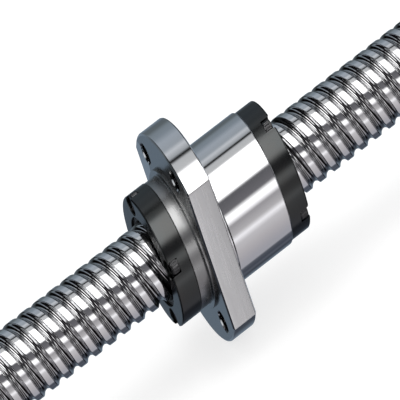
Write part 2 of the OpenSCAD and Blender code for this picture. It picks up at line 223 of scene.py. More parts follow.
def inset_prism(outline, rings):
    """Stacks copies of a convex outline [(y, z)] along X: rings are (x, inset)."""
    n = len(outline)
    points = np.array(outline, float)
    normals = []
    for i in range(n):
        edge = points[(i + 1) % n] - points[i - 1]
        normal = np.array([edge[1], -edge[0]])
        normals.append(normal / np.linalg.norm(normal))
    normals = np.array(normals)
    if ((points[0] - points.mean(0)) @ normals[0]) < 0:
        normals = -normals
    verts = []
    for x, inset in rings:
        for point, normal in zip(points, normals):
            y, z = point - normal * inset
            verts.append((x, y, z))
    return verts, loft_faces(n, len(rings))


def straight_prism(outline, x0, x1):
    n = len(outline)
    verts = [(x0, y, z) for y, z in outline] + [(x1, y, z) for y, z in outline]
    faces = [list(range(n)), [n + i for i in range(n)][::-1]]
    faces += [[i, (i + 1) % n, n + (i + 1) % n, n + i] for i in range(n)]
    return verts, faces


def at(angle, radius=0.0):
    """Keeps the local X axis parallel to the screw, radius out at an angle in degrees."""
    return Matrix.Rotation(math.radians(angle), 4, "X") @ Matrix.Translation((0, 0, radius))


def radial(angle, x):
    """Points the local X axis straight out from the screw, at an angle and a place on X."""
    return at(angle) @ Matrix.Translation((x, 0, 0)) @ Matrix.Rotation(-math.pi / 2, 4, "Y")


# ------------------------------------------------------------------ cutting
def tool(solid, place=None):
    """A temporary object from (verts, faces), for boolean()."""
    verts, faces = solid
    if place is not None:
        verts = [tuple(place @ Vector(v)) for v in verts]
    ob = mesh_object("tool", verts, faces)
    clean(ob.data, dissolve=False)
    return ob


def boolean(ob, tools, operation="DIFFERENCE"):
    for cutter in tools:
        mod = ob.modifiers.new("bool", "BOOLEAN")
        mod.operation = operation
        mod.solver = "EXACT"
        mod.object = cutter
        graph = bpy.context.evaluated_depsgraph_get()
        mesh = bpy.data.meshes.new_from_object(ob.evaluated_get(graph), depsgraph=graph)
        ob.modifiers.remove(mod)
        old = ob.data
        mesh.name = ob.name
        ob.data = mesh
        bpy.data.meshes.remove(old)
        cutter_mesh = cutter.data
        bpy.data.objects.remove(cutter)
        bpy.data.meshes.remove(cutter_mesh)


def through_hole(radius, x0, x1, chamfer, segments):
    """Solid along X from x0 to x1 with a conical flare at both mouths."""
    wide = radius + chamfer
    return revolve([
        (x0 - 1, 0), (x0 - 1, wide), (x0, wide), (x0 + chamfer, radius),
        (x1 - chamfer, radius), (x1, wide), (x1 + 1, wide), (x1 + 1, 0)], segments)


def hex_socket(across_flats, bottom, mouth, chamfer):
    radius = across_flats / math.sqrt(3)
    rings = [(bottom, radius), (mouth - chamfer, radius),
             (mouth, radius + chamfer), (mouth + 1, radius + chamfer)]
    verts = []
    for x, r in rings:
        for k in range(6):
            a = math.pi / 3 * k
            verts.append((x, r * math.cos(a), r * math.sin(a)))
    return verts, loft_faces(6, len(rings))


def repeat_mesh(ob, places, material, mirrored=False):
    """Replaces an object's mesh by copies of it, one for each matrix (metres)."""
    single = ob.data
    bm = bmesh.new()
    for place in places:
        part = single.copy()
        part.transform(place)
        if mirrored:
            part.flip_normals()
        bm.from_mesh(part)
        bpy.data.meshes.remove(part)
    mesh = bpy.data.meshes.new(ob.name)
    bm.to_mesh(mesh)
    bm.free()
    mesh.materials.append(material)
    ob.data = mesh
    bpy.data.meshes.remove(single)
    tidy(ob)


# ------------------------------------------------------------------ shader nodes
def srgb(*rgb):
    """Linear colour from 0-255 sRGB values."""
    out = []
    for c in rgb:
        c = c / 255
        out.append(c / 12.92 if c <= 0.04045 else ((c + 0.055) / 1.055) ** 2.4)
    return tuple(out)


def shade(colour, factor):
    return tuple(c * factor for c in colour)


class Nodes:
    """Short calls for building a node tree. A value is a number, a tuple or a socket."""

    def __init__(self, tree):
        self.tree = tree
        tree.nodes.clear()

    def node(self, kind, **settings):
        node = self.tree.nodes.new(kind)
        for key, value in settings.items():
            setattr(node, key, value)
        return node

    def feed(self, socket, value):
        if isinstance(value, (int, float, tuple)):
            socket.default_value = value
        else:
            self.tree.links.new(value, socket)

    def calc(self, operation, *values):
        node = self.node("ShaderNodeMath", operation=operation)
        for socket, value in zip(node.inputs, values):
            self.feed(socket, value)
        return node.outputs[0]

    def split(self, vector):
        node = self.node("ShaderNodeSeparateXYZ")
        self.feed(node.inputs[0], vector)
        return node.outputs

    def remap(self, value, source=(0.3, 0.7), target=(0, 1), interpolation="LINEAR"):
        """Clamped map; the default source is the useful range of a noise."""
        node = self.node("ShaderNodeMapRange", interpolation_type=interpolation)
        for i, item in enumerate((value, *source, *target)):
            self.feed(node.inputs[i], item)
        return node.outputs[0]

    def mix(self, factor, a, b, blend="MIX"):
        """Colour mix; a and b are RGB tuples or sockets."""
        node = self.node("ShaderNodeMix", data_type="RGBA", blend_type=blend)
        self.feed(node.inputs[0], factor)
        for i, colour in ((6, a), (7, b)):
            self.feed(node.inputs[i], (*colour, 1) if isinstance(colour, tuple) else colour)
        return node.outputs[2]

    def ramp(self, factor, stops):
        """Colour ramp from (position, RGB) stops in rising order."""
        node = self.node("ShaderNodeValToRGB")
        self.feed(node.inputs[0], factor)
        elements = node.color_ramp.elements
        while len(elements) > 1:
            elements.remove(elements[-1])
        for i, (position, colour) in enumerate(stops):
            element = elements[0] if i == 0 else elements.new(position)
            element.position = position
            element.color = (*colour, 1)
        return node.outputs[0]


class Material(Nodes):
    """A Principled material textured in object space (metres)."""

    def __init__(self, name):
        self.material = bpy.data.materials.new(name)
        self.material.use_nodes = True
        super().__init__(self.material.node_tree)
        output = self.node("ShaderNodeOutputMaterial")
        self.shader = self.node("ShaderNodeBsdfPrincipled")
        self.feed(output.inputs["Surface"], self.shader.outputs["BSDF"])

    @cached_property
    def space(self):
        return self.node("ShaderNodeTexCoord").outputs["Object"]

    def set(self, name, value):
        self.feed(self.shader.inputs[name], value)

    def vector(self, *parts):
        node = self.node("ShaderNodeCombineXYZ")
        for socket, part in zip(node.inputs, parts):
            self.feed(socket, part)
        return node.outputs[0]

    def radius(self, y, z):
        squares = self.calc("ADD", self.calc("MULTIPLY", y, y), self.calc("MULTIPLY", z, z))
        return self.calc("SQRT", squares)

    def noise(self, vector, detail=3, roughness=0.55):
        node = self.node("ShaderNodeTexNoise")
        node.inputs["Scale"].default_value = 1.0
        node.inputs["Detail"].default_value = detail
        node.inputs["Roughness"].default_value = roughness
        self.feed(node.inputs["Vector"], vector)
        return node.outputs[0]

    def stretched_noise(self, *scale, detail=3, roughness=0.55):
        """Noise with its own scale (cycles per metre) along X, Y and Z."""
        node = self.node("ShaderNodeMapping")
        node.inputs["Scale"].default_value = scale
        self.feed(node.inputs["Vector"], self.space)
        return self.noise(node.outputs[0], detail, roughness)

    def even_noise(self, scale, detail=3, roughness=0.55):
        return self.stretched_noise(scale, scale, scale, detail=detail, roughness=roughness)

    def swing(self, base, noise, amount):
        """Adds a noise, centred on zero, to a base value."""
        centred = self.calc("SUBTRACT", noise, 0.5)
        return self.calc("ADD", base, self.calc("MULTIPLY", centred, amount))

    def bump(self, height, strength, depth):
        node = self.node("ShaderNodeBump")
        node.inputs["Strength"].default_value = strength
        node.inputs["Distance"].default_value = depth * MM
        self.feed(node.inputs["Height"], height)
        self.set("Normal", node.outputs[0])

    def edge(self, radius):
        """0 on faces, 1 on edges."""
        bevel = self.node("ShaderNodeBevel", samples=4)
        bevel.inputs["Radius"].default_value = radius * MM
        geometry = self.node("ShaderNodeNewGeometry")
        dot = self.node("ShaderNodeVectorMath", operation="DOT_PRODUCT")
        self.feed(dot.inputs[0], bevel.outputs[0])
        self.feed(dot.inputs[1], geometry.outputs["Normal"])
        return self.remap(dot.outputs["Value"], source=(0.995, 0.9))


# ------------------------------------------------------------------ materials
# rough is the mean roughness; line, grain and depth are in millimetres
def turned_steel(name, colour, rough, line=0.22, depth=0.0012, streak=0.04):
    """Bright steel finished on a lathe or grinder: fine rings round the X axis."""
    m = Material(name)
    x, y, z = m.split(m.space)
    radius = m.radius(y, z)
    frequency = 1000 / line
    rings = m.noise(m.vector(m.calc("MULTIPLY", x, frequency),
                             m.calc("MULTIPLY", radius, frequency), 0.0), roughness=0.6)
    cloud = m.even_noise(70)
    fine = m.stretched_noise(900, 60, 60, detail=2)
    m.set("Metallic", 1.0)
    m.set("Base Color", m.mix(m.remap(cloud), shade(colour, 0.955), colour))
    base = m.remap(cloud, source=(0.3, 0.75), target=(rough * 0.85, rough * 1.2))
    m.set("Roughness", m.swing(base, fine, amount=streak))
    m.bump(rings, strength=0.5, depth=depth)
    return m.material


def ground_flat(name, colour, rough):
    """Satin steel face with straight grinding marks along Z."""
    m = Material(name)
    lines = m.stretched_noise(5200, 900, 90, roughness=0.6)
    cloud = m.stretched_noise(120, 120, 45)
    m.set("Metallic", 1.0)
    m.set("Base Color", m.mix(m.remap(cloud), shade(colour, 0.95), colour))
    base = m.remap(cloud, target=(rough * 0.9, rough * 1.12))
    m.set("Roughness", m.swing(base, lines, amount=0.18))
    m.bump(lines, strength=0.6, depth=0.0022)
    return m.material


def faced_steel(name, colour, rough):
    """Face turned across the axis: fine concentric rings."""
    m = Material(name)
    x, y, z = m.split(m.space)
    radius = m.radius(y, z)
    rings = m.noise(m.vector(m.calc("MULTIPLY", radius, 4200.0),
                             m.calc("MULTIPLY", x, 400.0), 0.0), roughness=0.6)
    cloud = m.even_noise(80)
    m.set("Metallic", 1.0)
    m.set("Base Color", m.mix(m.remap(cloud), shade(colour, 0.94), colour))
    m.set("Roughness", m.remap(cloud, target=(rough * 0.88, rough * 1.15)))
    m.bump(rings, strength=0.5, depth=0.0015)
    return m.material


def raceway_steel(name, colour, rough):
    """Helical groove and lands: marks follow the thread's lead."""
    m = Material(name)
    x, y, z = m.split(m.space)
    angle = m.calc("ARCTAN2", z, y)
    # distance along the axis measured from the helix through each point
    advance = m.calc("MULTIPLY", angle, LEAD * MM / (2 * math.pi))
    along = m.calc("SUBTRACT", x, advance)
    wave = m.calc("SINE", m.calc("MULTIPLY", along, 2 * math.pi / (PITCH * MM)))
    marks = m.noise(m.vector(m.calc("MULTIPLY", wave, 26.0),
                             m.calc("MULTIPLY", x, 30.0), 0.0), detail=2)
    cloud = m.even_noise(160, detail=4, roughness=0.6)
    m.set("Metallic", 1.0)
    land = m.mix(m.remap(cloud), shade(colour, 0.93), colour)
    # painted shade: towards the groove's bottom the raceway is darker than the lands, standing
    # in for the shade and dark reflections in the groove; radii in metres
    groove_painted_shade = m.remap(m.radius(y, z), source=(0.0093, 0.0098), target=(1, 0))
    m.set("Base Color", m.mix(groove_painted_shade, land, shade(colour, 0.62)))
    base = m.remap(cloud, target=(rough * 0.8, rough * 1.25))
    m.set("Roughness", m.swing(base, marks, amount=0.03))
    m.bump(marks, strength=0.35, depth=0.002)
    return m.material


def black_oxide(name, colour, rough, tint, wear=(0.30, 0.30, 0.31), grain=0.35):
    """Blackened steel, clouded with a tint and worn bright on its edges."""
    m = Material(name)
    cloud = m.even_noise(130, detail=4, roughness=0.6)
    grains = m.even_noise(1000 / grain, detail=2)
    clouded = m.mix(m.remap(cloud), colour, tint)
    patches = m.remap(grains, source=(0.35, 0.65), target=(0.25, 0.75))
    worn = m.calc("MULTIPLY", m.edge(radius=0.22), patches)
    m.set("Metallic", 1.0)
    m.set("Base Color", m.mix(worn, clouded, wear))
    m.set("Roughness", m.remap(cloud, target=(rough * 0.88, rough * 1.15)))
    m.bump(grains, strength=0.25, depth=0.006)
    return m.material


def plastic(name, colour, rough, grain=0.3, depth=0.01):
    """Plastic or rubber with a fine moulded grain."""
    m = Material(name)
    cloud = m.even_noise(200)
    grains = m.even_noise(1000 / grain, detail=2)
    m.set("Base Color", m.mix(m.remap(cloud), shade(colour, 0.8), colour))
    m.set("Roughness", m.remap(cloud, target=(rough * 0.9, rough * 1.1)))
    m.set("Specular IOR Level", 0.5)
    m.bump(grains, strength=0.3, depth=depth)
    return m.material


NUT_STEEL = turned_steel("nut_polished_steel", (0.80, 0.80, 0.81), rough=0.07)
FLAT_STEEL = ground_flat("nut_flat_ground", (0.84, 0.84, 0.842), rough=0.30)
FACE_STEEL = faced_steel("nut_faced_steel", (0.66, 0.675, 0.69), rough=0.20)
# painted shade: the flange's near face is a darker copy of the faced steel, standing in for the
# shade and dark reflections it shows
NEAR_FACE_PAINTED_SHADE_STEEL = faced_steel("flange_near_face_painted_shade_steel", (0.41, 0.425, 0.435), rough=0.22)
# painted shade: the neck is a darker copy of the nut's steel, standing in for the shade and dark
# reflections from the flange and caps around it
NECK_PAINTED_SHADE_STEEL = turned_steel("neck_painted_shade_turned_steel", (0.39, 0.39, 0.39), rough=0.27)
THREAD_STEEL = raceway_steel("screw_ground_steel", (0.84, 0.84, 0.85), rough=0.065)
SHAFT_STEEL = turned_steel("shaft_turned_steel", (0.76, 0.76, 0.77), rough=0.17,
                           line=0.18, depth=0.002)
RING_STEEL = turned_steel("bearing_ring_steel", (0.72, 0.725, 0.74), rough=0.13, line=0.15)
BALL_STEEL = turned_steel("ball_steel", (0.84, 0.84, 0.86), rough=0.05,
                          line=0.3, depth=0.0002, streak=0.01)
CAP_BLACK = black_oxide("end_cap_black", (0.068, 0.073, 0.074), rough=0.20,
                        tint=(0.082, 0.082, 0.080), wear=(0.16, 0.16, 0.162))
SCREW_BLACK = black_oxide("cap_screw_black", (0.05, 0.05, 0.054), rough=0.22,
                          tint=(0.07, 0.068, 0.066), grain=0.2)
LOCK_BLACK = black_oxide("locknut_black", (0.10, 0.10, 0.105), rough=0.30,
                         tint=(0.13, 0.13, 0.125))
WIPER_DARK = plastic("wiper_dark", (0.03, 0.031, 0.033), rough=0.42)
SEAL_RUBBER = plastic("seal_rubber_black", (0.018, 0.018, 0.02), rough=0.55,
                      grain=0.25, depth=0.015)
CAGE_AMBER = plastic("cage_amber", (0.36, 0.20, 0.055), rough=0.38)

# ------------------------------------------------------------------ ball thread
# side -1 cuts the groove into the screw, +1 into the nut. fade is the length over which the
# groove runs out at each end. corner rounds the land's edges; corner_rows place mesh rows
# there, in multiples of corner from the groove's edge.
Thread = namedtuple("Thread", "arc_radius land side segments fade corner corner_rows")
SCREW_THREAD = Thread(BALL_RADIUS + 0.12, land=9.95, side=-1, segments=120, fade=1.6,
                      corner=0.34, corner_rows=(-0.92, -0.5, -0.15, 0.2, 0.6))
NUT_THREAD = Thread(BALL_RADIUS + 0.13, land=10.3, side=1, segments=96, fade=0,
                    corner=0.13, corner_rows=(-0.95, -0.5, -0.1, 0.3))
GROOVE_ROWS = 9          # mesh rows across the groove's arc
LAND_ROWS = 4            # rows across the land, counting both of its ends
ARC_SAMPLES = 4 * GROOVE_ROWS
LAND_SAMPLES = 60
PITCH_SAMPLES = 1500
ARCH_DEPTH = 0.045       # a gothic arch is a little deeper at its middle than one arc
ARCH_HALF_ANGLE = 0.5    # radians


def groove_section(thread):
    """Axial section of one pitch: x of the mesh rows, then dense x and r arrays."""
    rho, side, corner = thread.arc_radius, thread.side, thread.corner
    end_angle = math.acos(side * (thread.land - BALL_CIRCLE) / rho)
    arc = []
    for k in range(-ARC_SAMPLES, ARC_SAMPLES + 1):
        a = end_angle * k / ARC_SAMPLES
        outward = BALL_CIRCLE + side * rho * math.cos(a)
        sideways = rho * math.sin(a) * math.sin(LEAD_ANGLE)
        r = math.hypot(outward, sideways)
        turned = math.degrees(math.atan2(sideways, outward))
        x = rho * math.sin(a) * math.cos(LEAD_ANGLE) + LEAD / 360 * turned
        r += side * ARCH_DEPTH * max(0.0, 1 - abs(a) / ARCH_HALF_ANGLE) ** 1.5
        arc.append((x, r))
    arc = np.array(arc)
    edge = arc[-1, 0]
    land_x = np.linspace(edge, PITCH - edge, LAND_SAMPLES)[1:-1]
    whole = np.vstack([arc, np.column_stack([land_x, np.full(len(land_x), arc[-1, 1])])])
    whole = np.vstack([whole, arc[:1] + (PITCH, 0)])
    # round the two edges of the land by smoothing a dense copy
    xs = np.linspace(whole[0, 0], whole[0, 0] + PITCH, PITCH_SAMPLES + 1)[:-1]
    rs = np.interp(xs, whole[:, 0], whole[:, 1])
    width = max(1, int(corner / PITCH * PITCH_SAMPLES))
    kernel = np.hanning(2 * width + 1)
    kernel /= kernel.sum()
    rs = np.convolve(np.concatenate([rs[-width:], rs, rs[:width]]), kernel, "valid")
    rs = np.minimum(rs, thread.land) if side < 0 else np.maximum(rs, thread.land)
    # rows: close together at the edges, wider on the land
    rows = list(np.linspace(-edge + corner, edge - corner, GROOVE_ROWS))
    rows += [-edge + corner * f for f in thread.corner_rows]
    rows += [edge - corner * f for f in thread.corner_rows]
    land_ends = edge + corner * 0.9, PITCH - edge - corner * 0.9
    rows += list(np.linspace(*land_ends, LAND_ROWS)[1:-1])
    return np.array(sorted(rows)), xs, rs


def section_radius(x, xs, rs):
    t = (x - xs[0]) % PITCH + xs[0]
    return np.interp(t, np.append(xs, xs[0] + PITCH), np.append(rs, rs[0]))


def thread_rings(thread, x0, x1):
    """Rings of (x, r) arrays for the helical surface, cut square at x0 and x1.

    Also gives the ring angles and the number of rings in one lead.
    """
    rows, xs, rs = groove_section(thread)
    angles = np.arange(thread.segments) * 360.0 / thread.segments
    theta = angles + 90.0      # helix angle: a groove lies at x = LEAD * theta / 360
    first = math.floor((x0 - LEAD * theta.max() / 360) / PITCH) - 1
    last = math.ceil((x1 - LEAD * theta.min() / 360) / PITCH) + 1
    rings = []
    for k in range(first, last + 1):
        for row in rows:
            x = k * PITCH + row + LEAD * theta / 360
            cut = np.clip(x, x0, x1)
            # keep only one ring that lies wholly beyond each end
            if (x < x0).all() and rings and (rings[-1][0] == x0).all():
                continue
            if (x > x1).all() and rings and (rings[-1][0] == x1).all():
                continue
            r = section_radius(cut - LEAD * theta / 360, xs, rs)
            if thread.fade > 0:
                s = np.clip(np.minimum(cut - x0, x1 - cut) / thread.fade, 0, 1)
                s = s * s * (3 - 2 * s)
                r = thread.land + (r - thread.land) * s
            rings.append((cut, r))
    return rings, angles, STARTS * len(rows)


def threaded_solid(thread, x0, x1, before, after):
    """Threaded surface from x0 to x1 between two plain (x, r) profiles that end on the axis."""
    helical, angles, shift = thread_rings(thread, x0, x1)
    first = len(before)
    last = first + len(helical) - 1
    n = len(angles)
    sines, cosines = np.sin(np.radians(angles)), np.cos(np.radians(angles))
    verts, faces, ids = [], [], []
    for x, r in before + helical + after:
        x = np.broadcast_to(np.asarray(x, float), (n,))
        r = np.broadcast_to(np.asarray(r, float), (n,))
        if r.max() < 1e-6:
            verts.append((float(x[0]), 0.0, 0.0))
            ids.append([len(verts) - 1] * n)
        else:
            base = len(verts)
            verts.extend(zip(x.tolist(), (-r * sines).tolist(), (r * cosines).tolist()))
            ids.append(list(range(base, base + n)))
    for k in range(len(ids) - 1):
        p, q = ids[k], ids[k + 1]
        for i in range(n):
            j = (i + 1) % n
            loop = (p[i], p[j], q[j], q[i])
            # a helical ring's last column meets the first column one lead further on
            if j == 0 and first <= k < last:
                if k == first:
                    start = verts[p[0]][0] + 1e-6
                    passed = [ids[t][0] for t in range(first + 1, first + 2 + shift)
                              if verts[ids[t][0]][0] > start]
                    loop = [p[i], p[0]] + passed + [q[i]]
                else:
                    loop = (p[i], ids[min(k + shift, last)][0],
                            ids[min(k + 1 + shift, last)][0], q[i])
            face = distinct(loop)
            if len(face) > 2:
                faces.append(face)
    return verts, faces


# ------------------------------------------------------------------ screw shaft
# Profiles are (x, r) or (x, r, corner radius).
THREAD_FROM_END = 20       # plain length at the floating end
THREAD_FROM_DRIVE = 58     # plain length at the driven end
# centre hole and chamfer at either end, x from the end face inwards
SHAFT_TIP = [(5, 0), (4.3, 1.25), (1.0, 1.25), (0, 2.1, 0.1), (0, 4.2, 0.15), (0.8, 5, 0.2)]
# x from the floating end's face: ring groove, bearing seat, shoulder, start of the thread
FLOAT_END = [
    (3.9, 5, 0.08), (3.9, 4.7), (5, 4.7), (5, 5, 0.08), (13, 5), (13, 7, 0.25),
    (14, 7), (14, 10, 0.5), (19.4, 10, 0.3), (19.85, 9.95),
]
# x from the end of the thread: collar, shoulder, bearing seat, locknut seat, drive journal
DRIVE_END = [
    (0.15, 9.95), (0.6, 10, 0.3), (6, 10, 0.5), (6, 8), (7.5, 8, 0.25),
    (7.5, 6), (27.5, 6, 0.2), (27.5, 5.6), (28.5, 5.6), (28.5, 5.95, 0.15),
    (36.8, 5.95, 0.2), (37.4, 5.35), (38, 5.35), (38, 5),
]


def build_shaft():
    low, high = mm_box("screw_shaft")
    x_end, x_drive = low[0], high[0]
    thread_start, thread_end = x_end + THREAD_FROM_END, x_drive - THREAD_FROM_DRIVE
    before = fillet(shifted(SHAFT_TIP + FLOAT_END, x_end), closed=False)
    after = fillet(shifted(DRIVE_END, thread_end) + shifted(SHAFT_TIP, x_drive, -1)[::-1],
                   closed=False)
    solid = threaded_solid(SCREW_THREAD, thread_start, thread_end, before, after)
    ob = visual("screw_shaft", *solid, [SHAFT_STEEL, THREAD_STEEL], smooth_angle=38)
    for face in ob.data.polygons:
        if thread_start - 0.1 < face.center[0] / MM < thread_end + 0.1:
            face.material_index = 1
    register(ob, "screw_shaft", "screw", weighted=False)


# ------------------------------------------------------------------ nut body
NUT_LOW, NUT_HIGH = mm_box("nut_body")
NUT_NEAR, NUT_FAR = NUT_LOW[0], NUT_HIGH[0]
FLANGE_RADIUS = NUT_HIGH[2]
FLANGE_HALF_WIDTH = NUT_HIGH[1]
FLANGE_NEAR, FLANGE_FAR = -8.0, 0.0
FLANGE_CHAMFER = 0.55
FLANGE_ARC_STEPS = 40
FLANGE_CORNER = 0.5
# neck, root fillet, undercut at the mounting face and body
BARREL_PROFILE = [
    (NUT_NEAR, 0), (NUT_NEAR, 16.8, 0.3), (-8.9, 16.8, 0.25), (-8.9, 18.3, 0.22),
    (-7.9, 18.3), (-0.1, 17.2), (0.9, 17.2, 0.1), (1.2, 17.5, 0.12),
    (NUT_FAR, 17.5, 0.45), (NUT_FAR, 0),
]
BOLT_ANGLES, BOLT_CIRCLE, BOLT_HOLE_RADIUS = (30, -30, 150, 210), 22.5, 2.75
RETURN_ANGLE, RETURN_CIRCLE, RETURN_RADIUS = 13, 14.2, 1.35
# lubrication port in the +Y flat, as (y, r): countersunk mouth, then a fine passage
PORT_MOUTH = 20.25
PORT_PROFILE = [(16.6, 0), (16.6, 2.5), (PORT_MOUTH - 0.4, 2.5), (PORT_MOUTH, 2.9),
                (21.5, 2.9), (21.5, 0)]
PORT_PASSAGE = [(9.6, 0), (9.6, 0.9), (17.2, 0.9), (17.2, 0)]
NUT_MATERIALS = [NUT_STEEL, FLAT_STEEL, FACE_STEEL, NEAR_FACE_PAINTED_SHADE_STEEL, NECK_PAINTED_SHADE_STEEL]


def flange_outline(radius, half):
    """Two arcs joined by two flats, as (y, z), with the four corners slightly rounded."""
    arc_half = math.asin(half / radius)
    trim = FLANGE_CORNER / radius
    z = radius * math.cos(arc_half)
    points = []
    for side in (1, -1):
        base = 0.0 if side == 1 else math.pi
        for k in range(FLANGE_ARC_STEPS + 1):
            a = base - arc_half + trim + (2 * arc_half - 2 * trim) * k / FLANGE_ARC_STEPS
            points.append((radius * math.sin(a), radius * math.cos(a)))
        # round one corner, down the flat, round the next corner
        flat = [(half - 0.05, z + 0.13), (half, z - 0.15), (half, z - FLANGE_CORNER),
                (half, 0.5 * z), (half, 0.0), (half, -0.5 * z),
                (half, -(z - FLANGE_CORNER)), (half, -(z - 0.15)), (half - 0.05, -(z + 0.13))]
        points += [(side * flat_y, side * flat_z) for flat_y, flat_z in flat]
    return points


def nut_material_index(face):
    """Index into NUT_MATERIALS, by where a face lies and looks."""
    normal, centre = face.normal, face.center / MM
    radius = math.hypot(centre.y, centre.z)
    on_flat = abs(normal.y) > 0.97 and abs(centre.y) > FLANGE_HALF_WIDTH - 0.1
    if FLANGE_NEAR - 0.05 < centre.x < 0.05 and on_flat:
        return 1
    # the flange's near face takes the painted shade copy of the faced steel
    if centre.x < -7.9 and normal.x < -0.9 and radius > 16.7:
        return 3
    if abs(normal.x) > 0.9 and radius > 16:
        return 2
    # the neck takes the painted shade copy of the turned steel
    if centre.x < FLANGE_NEAR and radius < 18.5:
        return 4
    return 0


def build_nut():
    c = FLANGE_CHAMFER
    rings = [(FLANGE_NEAR, c), (FLANGE_NEAR + c * 0.45, c * 0.25), (FLANGE_NEAR + c, 0.0),
             (-c, 0.0), (-c * 0.45, c * 0.25), (FLANGE_FAR, c)]
    plate = inset_prism(flange_outline(FLANGE_RADIUS, FLANGE_HALF_WIDTH), rings)
    ob = visual("nut_body", *plate, NUT_MATERIALS)
    boolean(ob, [tool(revolve(fillet(BARREL_PROFILE, closed=False), 160))], "UNION")
    x0, x1 = NUT_NEAR - 1.0, NUT_FAR + 1.0
    tools = [tool(threaded_solid(NUT_THREAD, x0, x1, [(x0, 0.0)], [(x1, 0.0)]))]
    for angle in BOLT_ANGLES:
        hole = through_hole(BOLT_HOLE_RADIUS, FLANGE_NEAR, FLANGE_FAR, chamfer=0.35, segments=72)
        tools.append(tool(hole, at(angle, BOLT_CIRCLE)))
    for k in range(4):
        passage = through_hole(RETURN_RADIUS, NUT_NEAR, NUT_FAR, chamfer=0.12, segments=40)
        tools.append(tool(passage, at(RETURN_ANGLE + 90 * k, RETURN_CIRCLE)))
    middle = (FLANGE_NEAR + FLANGE_FAR) / 2
    to_y = Matrix.Translation((middle, 0, 0)) @ Matrix.Rotation(math.pi / 2, 4, "Z")
    tools.append(tool(revolve(PORT_PROFILE, 56), to_y))
    tools.append(tool(revolve(PORT_PASSAGE, 32), to_y))
    boolean(ob, tools)
    tidy(ob)
    for face in ob.data.polygons:
        face.material_index = nut_material_index(face)
    register(ob, "nut_body", "nut")


# ------------------------------------------------------------------ nut end caps
# End, seat on X, side it faces, angle of its first screw. Profiles: x outwards from the seat.
CAP_ENDS = (("near", NUT_NEAR, -1, -11), ("far", NUT_FAR, 1, 28.5))
CAP_DEPTH = 6.6
CAP_PROFILE = [(0, 10.35, 0.1), (0, 17, 0.12), (CAP_DEPTH, 17, 0.5),
               (CAP_DEPTH, 11.75, 0.15), (3.7, 11.75), (3.7, 10.35, 0.1)]
CAP_SCREW_CIRCLE = 15
# round pocket for a screw head; it breaks out through the cap's rim
POCKET_PROFILE = [(3.4, 0), (3.4, 2.7), (CAP_DEPTH - 0.18, 2.7), (CAP_DEPTH, 2.88),
                  (CAP_DEPTH + 1, 2.88), (CAP_DEPTH + 1, 0)]
SCREW_HOLE_PROFILE = [(-1, 0), (-1, 1.4), (4, 1.4), (4, 0)]
HEAD_BOTTOM, HEAD_TOP = CAP_DEPTH - 3.15, CAP_DEPTH - 0.65
HEAD_RADIUS = 2.25
KNURL_DEPTH = 0.07
CAP_SCREW_PROFILE = [
    (-4, 0), (-4, 1.0), (-3.7, 1.25, 0.1), (HEAD_BOTTOM, 1.25),
    (HEAD_BOTTOM, HEAD_RADIUS, 0.12), (HEAD_BOTTOM + 0.36, HEAD_RADIUS),
    (HEAD_BOTTOM + 0.42, HEAD_RADIUS), (HEAD_TOP - 0.5, HEAD_RADIUS),
    (HEAD_TOP - 0.42, HEAD_RADIUS), (HEAD_TOP, HEAD_RADIUS, 0.28), (HEAD_TOP, 0),
]
WIPER_PROFILE = [
    (3.75, 10.2, 0.1), (3.75, 11.7, 0.1), (5.9, 11.7, 0.2), (5.9, 11.25), (5.75, 11.15),
    (5.75, 10.95), (5.9, 10.85), (5.9, 10.6, 0.1), (5.2, 10.2, 0.1),
]


def on_seat(seat, side):
    """Moves a part built facing +X onto its seat, mirrored for side -1 (metres)."""
    return Matrix.Translation((seat * MM, 0, 0)) @ Matrix.Scale(side, 4, (1, 0, 0))


def build_cap(end, seat, side, screw_angle):
    node = f"{end}_end_cap"
    ob = visual(node, *revolve(fillet(CAP_PROFILE), 144, closed=True), [CAP_BLACK])
    tools = []
    for k in range(4):
        place = at(screw_angle + 90 * k, CAP_SCREW_CIRCLE)
        tools.append(tool(revolve(POCKET_PROFILE, 64), place))
        tools.append(tool(revolve(SCREW_HOLE_PROFILE, 40), place))
    boolean(ob, tools)
    ob.data.transform(on_seat(seat, side))
    if side < 0:
        ob.data.flip_normals()
    tidy(ob)
    register(ob, node, "nut")


def knurl(x, r, i):
    """Every third column of the head's side is sunk."""
    on_side = r > HEAD_RADIUS - 0.1 and HEAD_BOTTOM + 0.35 < x < HEAD_TOP - 0.3
    return -KNURL_DEPTH if on_side and i % 3 == 0 else 0.0


def build_cap_screws(end, seat, side, screw_angle):
    node = f"{end}_cap_screws"
    solid = revolve(fillet(CAP_SCREW_PROFILE, closed=False), 90, ripple=knurl)
    ob = visual(node, *solid, [SCREW_BLACK])
    boolean(ob, [tool(hex_socket(2.0, bottom=HEAD_TOP - 1.3, mouth=HEAD_TOP, chamfer=0.15))])
    places = []
    for k in range(4):
        # each screw is turned differently about its own axis
        spin = Matrix.Rotation(0.4 + k * 0.9, 4, "X")
        turn = at(screw_angle + 90 * k, CAP_SCREW_CIRCLE * MM) @ spin
        places.append(on_seat(seat, side) @ turn)
    repeat_mesh(ob, places, SCREW_BLACK, mirrored=side < 0)
    register(ob, node, "nut")


# ------------------------------------------------------------------ bearings
Bearing = namedtuple(
    "Bearing", "outer_radius bore_radius ball_circle ball_radius seal_inner seal_outer")
FIXED = Bearing(14, 6.01, 10, 2, seal_inner=8.95, seal_outer=11.18)
FLOAT = Bearing(13, 5.01, 9, 2.2, seal_inner=7.85, seal_outer=10.3)
BEARING_WIDTH = 8
GROOVE_GAP = 0.05        # groove radius over ball radius
SHOULDER = 0.62          # shoulder's distance from the ball circle, in ball radii
SEAL_THICKNESS = 0.6
SEAL_INSET = 0.95        # from the bearing's side to the seal's inner face


